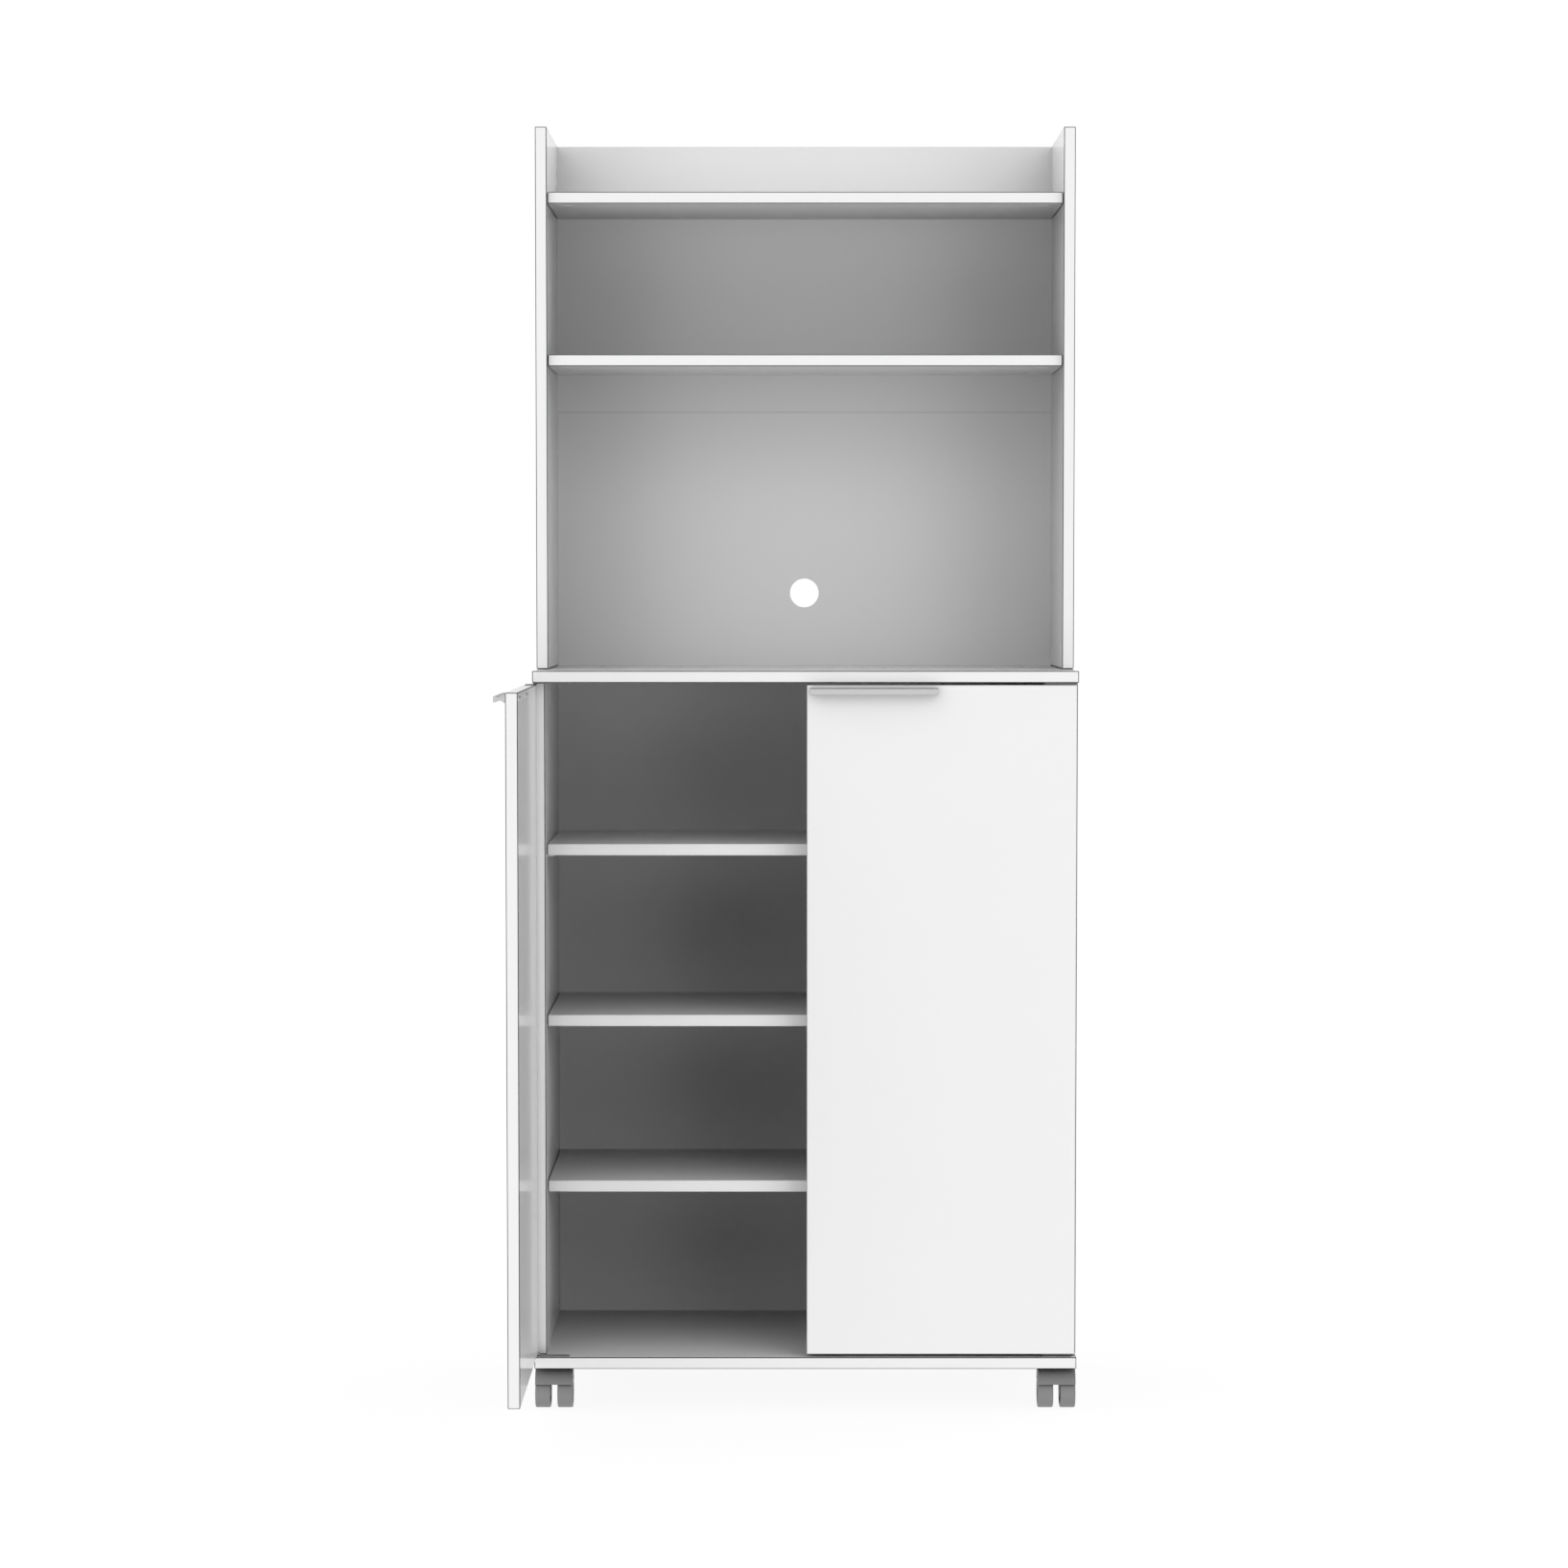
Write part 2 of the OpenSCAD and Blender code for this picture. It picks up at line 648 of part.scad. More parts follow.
module door(side) {
    color("white") on_door(side) difference() {
        board([door_in, door_setback, door_z], [door_out, door_back, door_top]);
        handle_screw_shafts(door_setback - over, door_back + over, handle_screw_r + hole_fit);
        hinge_screw_bores(door_top, false);
        hinge_screw_bores(door_z, true);
    }
}

// Edge pull: foot, scooped web and lip, drawn as u out of the door and v up
module handle(side) {
    lip_u = handle_projection - handle_lip_t;
    foot_v = handle_foot_h / 2;
    lip_v = handle_lip_h / 2;
    color("lightgray") on_door(side) difference() {
        translate([handle_x, door_setback, handle_z]) rotate([90, 0, 90]) linear_extrude(handle_l)
            polygon([
                [0, -foot_v], [-handle_foot_t, -foot_v], [-lip_u, -lip_v],
                [-handle_projection, -lip_v], [-handle_projection, lip_v], [-lip_u, lip_v],
                [-handle_foot_t, foot_v], [0, foot_v]
            ]);
        for (s = SIDES)
            translate([handle_x - over, door_setback - handle_foot_t - scoop_half,
                       handle_z + s * (handle_web_t / 2 + scoop_r)])
                rotate([0, 90, 0]) cylinder(r = scoop_r, h = handle_l + 2 * over, $fn = FINE);
        handle_screw_shafts(door_setback - handle_screw_bite - tip_gap, door_setback + over,
                            handle_screw_r + hole_fit);
    }
}

module handle_screws(side) {
    color("silver") on_door(side) {
        handle_screw_shafts(door_setback - handle_screw_bite, door_back + over, handle_screw_r);
        handle_screw_shafts(door_back, door_back + handle_screw_head_h, handle_screw_head_r);
    }
}

// Caster pieces stand round their swivel pin at the origin, on the floor
module at_caster(c) {
    translate([c[1] * caster_x, c[2], 0]) children();
}

// A cylinder along X about the wheel axle, from x0 to x1
module axle_cylinder(r, x0, x1) {
    translate([x0, -caster_trail, wheel_r]) rotate([0, 90, 0])
        cylinder(r = r, h = x1 - x0, $fn = r > arm_tip_r ? FINE : $fn);
}

module caster_plate() {
    flat = plate_w - 2 * plate_corner_r;
    color("silver") translate([0, 0, plate_z]) difference() {
        linear_extrude(plate_t) {
            square([plate_w, flat], center = true);
            square([flat, plate_w], center = true);
            for (x = SIDES) for (y = SIDES) translate([x * flat / 2, y * flat / 2]) circle(plate_corner_r);
        }
        translate([0, 0, -over]) cylinder(r = kingpin_r + hole_fit, h = plate_t + 2 * over);
        translate([0, 0, plate_t - kingpin_flange_t])
            cylinder(r = kingpin_flange_r + hole_fit, h = kingpin_flange_t + over);
        for (x = SIDES) for (y = SIDES) translate([x * plate_screw, y * plate_screw, 0]) {
            mirror([0, 0, 1]) countersunk_screw(
                plate_screw_r + hole_fit, plate_screw_head_r + hole_fit, plate_t + over);
            translate([0, 0, -over]) cylinder(r = plate_screw_head_r + hole_fit, h = over);
        }
    }
}

module caster_screws() {
    color("silver") caster_screw_places() mirror([0, 0, 1])
        countersunk_screw(plate_screw_r, plate_screw_head_r, plate_screw_l);
}

module caster_kingpins() {
    color("dimgray") for (c = CASTERS) at_caster(c) {
        translate([0, 0, kingpin_end]) cylinder(r = kingpin_r, h = base_z - kingpin_end);
        translate([0, 0, base_z - kingpin_flange_t])
            cylinder(r = kingpin_flange_r, h = kingpin_flange_t);
    }
}

// Round-backed hood over both wheels. A rib between the wheels carries two cranked arms, which
// hang inside the dished inner faces of the wheels and hold the axles.
module caster_housing() {
    color("gray") difference() {
        union() {
            difference() {
                intersection() {
                    translate([-housing_half, -caster_trail, housing_z]) rotate([0, 90, 0])
                        cylinder(r = housing_r, h = 2 * housing_half, $fn = FINE);
                    translate([-housing_half - over, -caster_trail - housing_r - over, housing_z])
                        cube([2 * (housing_half + over), 2 * (housing_r + over), housing_r + over]);
                }
                axle_cylinder(wheel_r + wheel_clearance, rib_half, housing_half + over);
                axle_cylinder(wheel_r + wheel_clearance, -housing_half - over, -rib_half);
            }
            intersection() {
                axle_cylinder(arm_edge_r, -arm_out, arm_out);
                translate([-arm_out - over, -caster_trail - arm_edge_r, housing_z])
                    cube([2 * (arm_out + over), 2 * arm_edge_r, arm_edge_r]);
            }
            for (s = SIDES) caster_arm(s);
            translate([0, 0, plate_z - play - boss_h]) cylinder(r = boss_r, h = boss_h);
        }
        translate([0, 0, kingpin_end - tip_gap])
            cylinder(r = kingpin_r + running_fit, h = plate_z - kingpin_end + over);
        axle_cylinder(axle_r + hole_fit, -arm_out - over, arm_out + over);
    }
}

module caster_arm(side) {
    on_side(side) intersection() {
        axle_cylinder(arm_edge_r, rib_half, arm_out);
        union() {
            axle_cylinder(arm_tip_r, rib_half - over, arm_out + over);
            translate([rib_half - over, -caster_trail - arm_tip_r, wheel_r])
                cube([arm_t + 2 * over, 2 * arm_tip_r, wheel_r]);
        }
    }
}

module caster_axles() {
    color("dimgray") both_sides() {
        axle_cylinder(axle_r, rib_half, hub_floor + play + axle_head_t);
        axle_cylinder(collar_r, arm_out, arm_out + collar_t);
        axle_cylinder(axle_head_r, hub_floor + play, hub_floor + play + axle_head_t);
    }
}

// Half section of a wheel as [distance from the caster's middle, radius], turned round its axle
module caster_wheel(side) {
    rim_in = wheel_gap / 2;
    rim_out = rim_in + wheel_w;
    hub_out = rim_out - hub_set;
    face = rim_out - face_deep;
    recess_r = axle_head_r + axle_head_gap;
    color("dimgray") translate([0, -caster_trail, wheel_r]) mirror([side > 0 ? 0 : 1, 0, 0])
        rotate([0, 90, 0]) rotate_extrude($fn = FINE) polygon([
            [axle_r + running_fit, dish_floor], [dish_r, dish_floor], [dish_r, rim_in],
            [wheel_r - wheel_edge, rim_in], [wheel_r, rim_in + wheel_edge],
            [wheel_r, rim_out - wheel_edge], [wheel_r - wheel_edge, rim_out],
            [dish_r, rim_out], [dish_r - face_deep, face], [hub_r + face_deep, face],
            [hub_r, hub_out], [recess_r, hub_out], [recess_r, hub_floor],
            [axle_r + running_fit, hub_floor]
        ]);
}

base_panel();
lower_side(-1);  // lower_left_side
lower_side(1);  // lower_right_side
worktop();
back_panel(base_z + back_edge_inset, back_split, lower_nails);  // lower_back
inner_shelf(inner_shelf_z[0]);  // lower_inner_shelf
inner_shelf(inner_shelf_z[1]);  // middle_inner_shelf
inner_shelf(inner_shelf_z[2]);  // upper_inner_shelf
hutch_side(-1);  // hutch_left_side
hutch_side(1);  // hutch_right_side
hutch_shelf(hutch_shelf_z[0]);  // hutch_middle_shelf
hutch_shelf(hutch_shelf_z[1]);  // hutch_top_shelf
back_panel(back_split + back_seam_gap, back_seam, hutch_lower_nails);  // hutch_lower_back
back_panel(back_seam + back_seam_gap, hutch_top - back_edge_inset, hutch_upper_nails);  // hutch_upper_back
cam_locks();
cam_bolts();
dowels();
shelf_pins();
back_nails();
top_cabinet_leaf(-1);  // left_top_cabinet_leaf
bottom_cabinet_leaf(-1);  // left_bottom_cabinet_leaf
top_cabinet_leaf(1);  // right_top_cabinet_leaf
bottom_cabinet_leaf(1);  // right_bottom_cabinet_leaf
hinge_pins();
hinge_washers();
cabinet_hinge_screws();
caster_screws();
caster_kingpins();
door(-1);  // left_door
handle(-1);  // left_handle
handle_screws(-1);  // left_handle_screws
top_door_leaf(-1);  // left_top_door_leaf
bottom_door_leaf(-1);  // left_bottom_door_leaf
door_hinge_screws(-1);  // left_door_hinge_screws
door(1);  // right_door
handle(1);  // right_handle
handle_screws(1);  // right_handle_screws
top_door_leaf(1);  // right_top_door_leaf
bottom_door_leaf(1);  // right_bottom_door_leaf
door_hinge_screws(1);  // right_door_hinge_screws
for (c = CASTERS) {
    at_caster(c) caster_plate();
    at_caster(c) caster_housing();
    at_caster(c) caster_axles();
    at_caster(c) caster_wheel(-1);
    at_caster(c) caster_wheel(1);
}
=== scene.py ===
import json
from math import cos, radians

import bmesh
import bpy
from mathutils import Matrix, Vector

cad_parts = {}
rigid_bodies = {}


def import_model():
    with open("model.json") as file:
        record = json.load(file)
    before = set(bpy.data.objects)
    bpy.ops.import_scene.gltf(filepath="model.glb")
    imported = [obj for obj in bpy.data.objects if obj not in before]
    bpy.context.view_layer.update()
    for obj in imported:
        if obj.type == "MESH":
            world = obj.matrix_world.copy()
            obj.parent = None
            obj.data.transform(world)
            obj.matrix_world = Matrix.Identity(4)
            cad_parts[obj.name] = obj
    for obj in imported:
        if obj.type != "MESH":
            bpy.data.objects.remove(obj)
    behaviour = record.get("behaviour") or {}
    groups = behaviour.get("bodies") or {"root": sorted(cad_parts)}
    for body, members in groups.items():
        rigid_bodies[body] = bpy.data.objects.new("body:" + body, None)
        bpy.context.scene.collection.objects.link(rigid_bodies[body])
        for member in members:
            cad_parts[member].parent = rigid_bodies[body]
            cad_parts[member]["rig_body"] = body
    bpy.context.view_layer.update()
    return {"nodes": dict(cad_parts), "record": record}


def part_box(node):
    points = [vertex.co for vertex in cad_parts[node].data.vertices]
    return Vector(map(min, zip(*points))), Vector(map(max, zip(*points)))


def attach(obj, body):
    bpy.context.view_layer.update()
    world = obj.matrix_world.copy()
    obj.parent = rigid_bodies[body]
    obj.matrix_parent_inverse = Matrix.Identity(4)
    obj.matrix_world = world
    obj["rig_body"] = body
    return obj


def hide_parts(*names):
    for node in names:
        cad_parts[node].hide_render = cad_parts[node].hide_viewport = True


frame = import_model()
nodes = frame["nodes"]
record = frame["record"]


# Melamine boards. Each panel is 15 mm particle board with a white melamine face of a fine satin grain,
# and a white plastic band glued on every edge that shows. The band's corners are rounded over, and these
# roundings and the chamfers where boards meet are painted dark, as a painted shade line along each edge
# and joint. Covered edges stay bare chipboard.
BOARD_WHITE = (0.87, 0.87, 0.87, 1)
# The painted shade line of the rounded corners and the joint chamfers.
EDGE_SHADE_DARK = (0.05, 0.05, 0.05, 1)
CHIP_LIGHT = (0.62, 0.47, 0.29, 1)
CHIP_DARK = (0.30, 0.20, 0.11, 1)
CHIP_SCALE = 420.0
CORNER_RADIUS = 0.0010
JOINT_CHAMFER = 0.0016
FACE_SHINE, BAND_SHINE = 0.022, 0.15
FACE, BAND, CHIPBOARD, CORNER_SHADE = range(4)
LEFT, RIGHT, REAR, DOWN, UP = (
    Vector(v) for v in [(-1, 0, 0), (1, 0, 0), (0, 1, 0), (0, 0, -1), (0, 0, 1)])


def add_node(tree, kind, inputs, **settings):
    """Adds a shader node. An input given as an output socket is linked, any other value is set."""
    node = tree.nodes.new("ShaderNode" + kind)
    for name, value in settings.items():
        setattr(node, name, value)
    for key, value in inputs.items():
        if isinstance(value, bpy.types.NodeSocket):
            tree.links.new(value, node.inputs[key])
        else:
            node.inputs[key].default_value = value
    return node


def new_group(name, inputs, outputs):
    """Starts a shader node group with named sockets, and gives it with its two end nodes."""
    group = bpy.data.node_groups.new(name, "ShaderNodeTree")
    for label, (kind, value) in inputs.items():
        socket = group.interface.new_socket(label, in_out="INPUT", socket_type="NodeSocket" + kind)
        socket.default_value = value
    for label, kind in outputs.items():
        group.interface.new_socket(label, in_out="OUTPUT", socket_type="NodeSocket" + kind)
    return group, group.nodes.new("NodeGroupInput").outputs, group.nodes.new("NodeGroupOutput").inputs


def make_grain_group():
    """Fine grain for the bump and the gloss, and broad faint mottling for the colour."""
    group, given, out = new_group(
        "surface_grain",
        {"Colour": ("Color", (0.8, 0.8, 0.8, 1)), "Mottling": ("Float", 0.02), "Grain Scale": ("Float", 600),
         "Stretch": ("Vector", (1, 1, 1)), "Roughness": ("Float", 0.4), "Gloss Change": ("Float", 0.05)},
        {"Colour": "Color", "Roughness": "Float", "Height": "Float"})
    link = group.links.new
    place = add_node(group, "TexCoord", {})
    along = add_node(group, "VectorMath", {0: place.outputs["Object"], 1: given["Stretch"]},
                     operation="MULTIPLY")
    fine = add_node(group, "TexNoise", {"Vector": along.outputs[0], "Scale": given["Grain Scale"],
                                        "Detail": 3.0})
    broad = add_node(group, "TexNoise", {"Vector": along.outputs[0], "Scale": 9.0, "Detail": 2.0})
    dimming = add_node(group, "Math", {0: broad.outputs["Fac"], 1: given["Mottling"]}, operation="MULTIPLY")
    tone = add_node(group, "Math", {0: 1.0, 1: dimming.outputs[0]}, operation="SUBTRACT")
    colour = add_node(group, "Mix", {0: 1.0, 6: given["Colour"], 7: tone.outputs[0]},
                      data_type="RGBA", blend_type="MULTIPLY")
    middle = add_node(group, "Math", {0: fine.outputs["Fac"], 1: 0.5}, operation="SUBTRACT")
    gloss = add_node(group, "Math", {0: middle.outputs[0], 1: given["Gloss Change"], 2: given["Roughness"]},
                     operation="MULTIPLY_ADD")
    link(colour.outputs[2], out["Colour"])
    link(gloss.outputs[0], out["Roughness"])
    link(fine.outputs["Fac"], out["Height"])
    return group


grain_group = make_grain_group()


def finish(name, colour, roughness, metallic=0.0, specular=0.5, mottling=0.02, grain=600.0,
           stretch=(1, 1, 1), gloss_change=0.06, relief=0.00002, passed_on=0.0, pattern=None, imprint=None):
    """A material with the surface grain on it. relief is the depth of the grain in metres, and passed_on
    is the share of its light that it throws on to other surfaces. pattern adds nodes that give the
    colour, and imprint adds nodes that give a coarser relief."""
    material = bpy.data.materials.new(name)
    material.use_nodes = True
    tree = material.node_tree
    shader = tree.nodes["Principled BSDF"]
    shader.inputs["Metallic"].default_value = metallic
    shader.inputs["Specular IOR Level"].default_value = specular
    place = add_node(tree, "TexCoord", {}).outputs["Object"]
    surface = add_node(tree, "Group", {}, node_tree=grain_group)
    for label, value in {"Colour": colour, "Mottling": mottling, "Grain Scale": grain, "Stretch": stretch,
                         "Roughness": roughness, "Gloss Change": gloss_change}.items():
        surface.inputs[label].default_value = value
    if pattern:
        tree.links.new(pattern(tree, place), surface.inputs["Colour"])
    bump = add_node(tree, "Bump", {"Height": surface.outputs["Height"], "Distance": relief})
    if imprint:
        height, depth = imprint(tree, place)
        coarse = add_node(tree, "Bump", {"Height": height, "Distance": depth})
        tree.links.new(coarse.outputs["Normal"], bump.inputs["Normal"])
    path = add_node(tree, "LightPath", {})
    share = add_node(tree, "MapRange", {"Value": path.outputs["Is Diffuse Ray"],
                                        "To Min": 1.0, "To Max": passed_on})
    shade = add_node(tree, "Mix", {0: 1.0, 6: surface.outputs["Colour"], 7: share.outputs[0]},
                     data_type="RGBA", blend_type="MULTIPLY")
    tree.links.new(shade.outputs[2], shader.inputs["Base Color"])
    tree.links.new(surface.outputs["Roughness"], shader.inputs["Roughness"])
    tree.links.new(bump.outputs["Normal"], shader.inputs["Normal"])
    return material


def wood_chips(tree, place):
    """Flat pressed flakes of two tones."""
    flakes = add_node(tree, "TexVoronoi", {"Vector": place, "Scale": CHIP_SCALE})
    tone = add_node(tree, "SeparateColor", {0: flakes.outputs["Color"]})
    chips = add_node(tree, "Mix", {0: tone.outputs[0], 6: CHIP_LIGHT, 7: CHIP_DARK}, data_type="RGBA")
    return chips.outputs[2]


chipboard = finish("chipboard", CHIP_LIGHT, roughness=0.85, specular=0.1, mottling=0.3, grain=900,
                   relief=0.0003, pattern=wood_chips)


def satin_face(name, passed_on=0.0):
    """The finish of a board's face: flat and fine, so that it mirrors when seen along it."""
    return finish(name, BOARD_WHITE, roughness=0.12, specular=FACE_SHINE, mottling=0.012, grain=750,
                  relief=0.000002, passed_on=passed_on)


def melamine(label, passed_on, edge_shade=EDGE_SHADE_DARK):
    """The four materials of a board, in the order of face, band, chipboard and corner; the corner one is the
    painted shade line.
    """
    return [
        satin_face(label + "_face", passed_on),
        finish(label + "_band", BOARD_WHITE, roughness=0.26, specular=BAND_SHINE, mottling=0.012, grain=500,
               relief=0.000006, passed_on=passed_on),
        chipboard,
        finish(label + "_edge_shade", edge_shade, roughness=0.45, specular=BAND_SHINE, mottling=0.15, grain=300),
    ]


def show(bm, name, materials, cad_node=None):
    """Makes a piece of the bmesh. It replaces its CAD node and moves with it, and a piece that has none
    is fixed to the cabinet."""
    mesh = bpy.data.meshes.new(name)
    bm.to_mesh(mesh)
    bm.free()
    for material in materials:
        mesh.materials.append(material)
    piece = bpy.data.objects.new(name, mesh)
    bpy.context.scene.collection.objects.link(piece)
    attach(piece, nodes[cad_node]["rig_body"] if cad_node else "cabinet")
    if cad_node:
        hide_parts(cad_node)
    return piece


def block(low, high):
    """A bmesh of the box between two corners."""
    bm = bmesh.new()
    place = Matrix.Translation((low + high) / 2) @ Matrix.Diagonal((*(high - low), 1))
    bmesh.ops.create_cube(bm, size=1, matrix=place)
    return bm


def board(name, bare, materials):
    """A banded board in the place of its CAD node. bare holds the directions of its bare edges, which
    get a plain chamfer where they meet another board. Banded edges are rounded over."""
    low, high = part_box(name)
    size = high - low
    thickness = min(range(3), key=lambda axis: size[axis])
    bm = block(low, high)
    bm.normal_update()
    for face in bm.faces:
        if abs(face.normal[thickness]) > 0.5:
            face.material_index = FACE
        elif any(face.normal.dot(way) > 0.5 for way in bare):
            face.material_index = CHIPBOARD
        else:
            face.material_index = BAND
    for cut, offset, segments in ((CHIPBOARD, JOINT_CHAMFER, 1), (BAND, CORNER_RADIUS, 3)):
        sharp = [edge for edge in bm.edges
                 if any(f.material_index == cut for f in edge.link_faces)
                 and not any(f.material_index == CORNER_SHADE
                             or f.material_index == CHIPBOARD and f.normal.dot(REAR) > 0.5
                             for f in edge.link_faces)]
        if sharp:
            made = bmesh.ops.bevel(bm, geom=sharp, offset=offset, offset_type="OFFSET",
                                   segments=segments, profile=0.5, affect="EDGES", material=-1)
            # The new faces take the corner colour, a painted shade line.
            for face in made["faces"]:
                face.material_index = CORNER_SHADE
                face.smooth = segments > 1
    show(bm, name + "_board", materials, name)


# Carcass boards. Base panel and worktop run the full width over the ends of the sides, and the two hutch
# shelves sit between the hutch sides, all of them drawn together by cam bolts and dowels. The three inner
# shelves lie loose on their pins, and their corners are left white, without the painted shade line.
inner_boards = melamine("inner_board", passed_on=0.0)
open_boards = melamine("open_board", passed_on=1.0)
hutch_sides = melamine("hutch_side", passed_on=0.25)
shelf_boards = melamine("shelf_board", passed_on=0.0, edge_shade=BOARD_WHITE)
board("base_panel", [REAR], inner_boards)
board("worktop", [REAR], open_boards)
for name in ("lower_left_side", "lower_right_side"):
    board(name, [REAR, UP, DOWN], inner_boards)
for name in ("lower_inner_shelf", "middle_inner_shelf", "upper_inner_shelf"):
    board(name, [REAR, LEFT, RIGHT], shelf_boards)
for name in ("hutch_left_side", "hutch_right_side"):
    board(name, [REAR, DOWN], hutch_sides)
board("hutch_middle_shelf", [REAR, LEFT, RIGHT], inner_boards)
board("hutch_top_shelf", [REAR, LEFT, RIGHT], open_boards)


# Doors. Two boards of the same melamine, banded on all four edges and hung on a knife hinge at the top
# and the bottom. The left one stands open. The right one's corners carry a paler painted shade line.
DOOR_EDGE_SHADE_PALE = (0.65, 0.65, 0.65, 1)
board("left_door", [], melamine("left_door", passed_on=1.0))
board("right_door", [], melamine("right_door", passed_on=0.3, edge_shade=DOOR_EDGE_SHADE_PALE))


# Cam covers. Thin discs of white foil, stuck over the cam locks on the inner faces of the sides and
# under the hutch shelves.
COVER_RADIUS, COVER_THICKNESS = 0.0085, 0.0002
COVER_SEGMENTS = 40
CAM_REACH = 0.024
LOWER_CAM_INSET, HUTCH_CAM_INSET = 0.060, 0.045
cover_white = satin_face("cam_cover")


def cam_cover(name, at, way):
    """A disc with a rounded rim that lies on the board at a point and faces the way given."""
    bm = bmesh.new()
    turn = UP.rotation_difference(way).to_matrix().to_4x4()
    bmesh.ops.create_cone(bm, cap_ends=True, segments=COVER_SEGMENTS, radius1=COVER_RADIUS,
                          radius2=COVER_RADIUS, depth=COVER_THICKNESS,
                          matrix=Matrix.Translation(at + way * COVER_THICKNESS / 2) @ turn)
    rim = [e for e in bm.edges if all((v.co - at).dot(way) > COVER_THICKNESS / 2 for v in e.verts)]
    bmesh.ops.bevel(bm, geom=rim, offset=COVER_THICKNESS / 2, offset_type="OFFSET", segments=2, profile=0.5,
                    affect="EDGES", material=-1)
    show(bm, name, [cover_white])


def cam_rows(side_name, inset):
    """The y of the front and the rear cam at an end of this side."""
    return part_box(side_name)[0].y + inset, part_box("base_panel")[1].y - inset


for side, way in (("left", RIGHT), ("right", LEFT)):
    lower_low, lower_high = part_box(f"lower_{side}_side")
    hutch_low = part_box(f"hutch_{side}_side")[0]
    inner_x = lower_high.x if side == "left" else lower_low.x
    for row, y in zip(("front", "rear"), cam_rows(f"lower_{side}_side", LOWER_CAM_INSET)):
        cam_cover(f"{side}_{row}_base_cam_cover", Vector((inner_x, y, lower_low.z + CAM_REACH)), way)
    for row, y in zip(("front", "rear"), cam_rows(f"hutch_{side}_side", HUTCH_CAM_INSET)):
        cam_cover(f"{side}_{row}_worktop_cam_cover", Vector((inner_x, y, lower_high.z - CAM_REACH)), way)
        cam_cover(f"{side}_{row}_hutch_cam_cover", Vector((inner_x, y, hutch_low.z + CAM_REACH)), way)
        for shelf in ("hutch_middle_shelf", "hutch_top_shelf"):
            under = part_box(shelf)[0].z
            cam_cover(f"{side}_{row}_{shelf}_cam_cover",
                      Vector((inner_x + way.x * CAM_REACH, y, under)), DOWN)


# Back panels. Three sheets of 3 mm hardboard, nailed on from behind: white lacquer inside, bare brown
# fibre with the print of the press screen behind. The lowest hutch sheet has the round cable hole.
LACQUER_WHITE = (0.86, 0.86, 0.86, 1)
LACQUER_SHINE = 0.02
HARDBOARD_BROWN = (0.235, 0.135, 0.07, 1)
SCREEN_PITCH, SCREEN_DEPTH = 0.0016, 0.0002
WAVE_LENGTH = 0.314
HOLE_SEGMENTS = 96
FRONT_CHAMFER, REAR_CHAMFER = 0.00015, 0.0006
SAME_PLANE = 1e-6
LACQUER, HARDBOARD = range(2)


def press_screen(tree, place):
    """The weave of the press screen: where two sets of fine ribs cross. At a scale of 1 the ribs of the
    texture are WAVE_LENGTH apart."""
    scale = WAVE_LENGTH / SCREEN_PITCH
    ribs = [add_node(tree, "TexWave", {"Vector": place, "Scale": scale, "Distortion": 0.0},
                     wave_type="BANDS", bands_direction=way).outputs["Fac"] for way in ("X", "Z")]
    return add_node(tree, "Math", {0: ribs[0], 1: ribs[1]}, operation="MINIMUM").outputs[0], SCREEN_DEPTH


back_materials = [
    finish("back_lacquer", LACQUER_WHITE, roughness=0.38, specular=LACQUER_SHINE, mottling=0.01, grain=1100,
           relief=0.00001),
    finish("bare_hardboard", HARDBOARD_BROWN, roughness=0.75, specular=0.2, mottling=0.35, grain=1400,
           relief=0.0001, imprint=press_screen),
]


def back_sheet(name, below=0.0, above=0.0, hole=None):
    """A back panel in the place of its CAD node. below and above are how far it runs on, to touch the
    next sheet, and hole is the mount of its round hole. The edges along the joints are broken."""
    low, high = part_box(name)
    low.z -= below
    high.z += above
    if hole is None:
        bm = block(low, high)
    else:
        bm = bmesh.new()
        centre = Vector(hole["pos_m"])
        stand = Matrix.Translation((centre.x, low.y, centre.z)) @ Matrix.Rotation(radians(90), 4, "X")
        bmesh.ops.create_circle(bm, segments=HOLE_SEGMENTS, radius=hole["dims"]["r_mm"] / 1000, matrix=stand)
        edge = bmesh.ops.create_circle(bm, segments=HOLE_SEGMENTS, radius=1, matrix=stand)
        for vert in edge["verts"]:
            out = vert.co - centre
            out /= max(abs(out.x), abs(out.z))
            vert.co.x = centre.x + out.x * (high.x - centre.x if out.x > 0 else centre.x - low.x)
            vert.co.z = centre.z + out.z * (high.z - centre.z if out.z > 0 else centre.z - low.z)
        bmesh.ops.bridge_loops(bm, edges=bm.edges[:])
        wall = bmesh.ops.extrude_face_region(bm, geom=bm.faces[:])
        moved = [v for v in wall["geom"] if isinstance(v, bmesh.types.BMVert)]
        bmesh.ops.translate(bm, verts=moved, vec=(0, high.y - low.y, 0))
        bmesh.ops.recalc_face_normals(bm, faces=bm.faces[:])
    bm.normal_update()
    for face in bm.faces:
        face.material_index = LACQUER if face.normal.y < -0.5 else HARDBOARD
    for face_y, offset in ((low.y, FRONT_CHAMFER), (high.y, REAR_CHAMFER)):
        joints = [e for e in bm.edges if all(abs(v.co.y - face_y) < SAME_PLANE for v in e.verts)
                  and any(all(abs(v.co.z - z) < SAME_PLANE for v in e.verts) for z in (low.z, high.z))]
        for face in bmesh.ops.bevel(bm, geom=joints, offset=offset, offset_type="OFFSET", segments=1,
                                    profile=0.5, affect="EDGES", material=-1)["faces"]:
            face.material_index = HARDBOARD
    show(bm, name + "_sheet", back_materials, name)


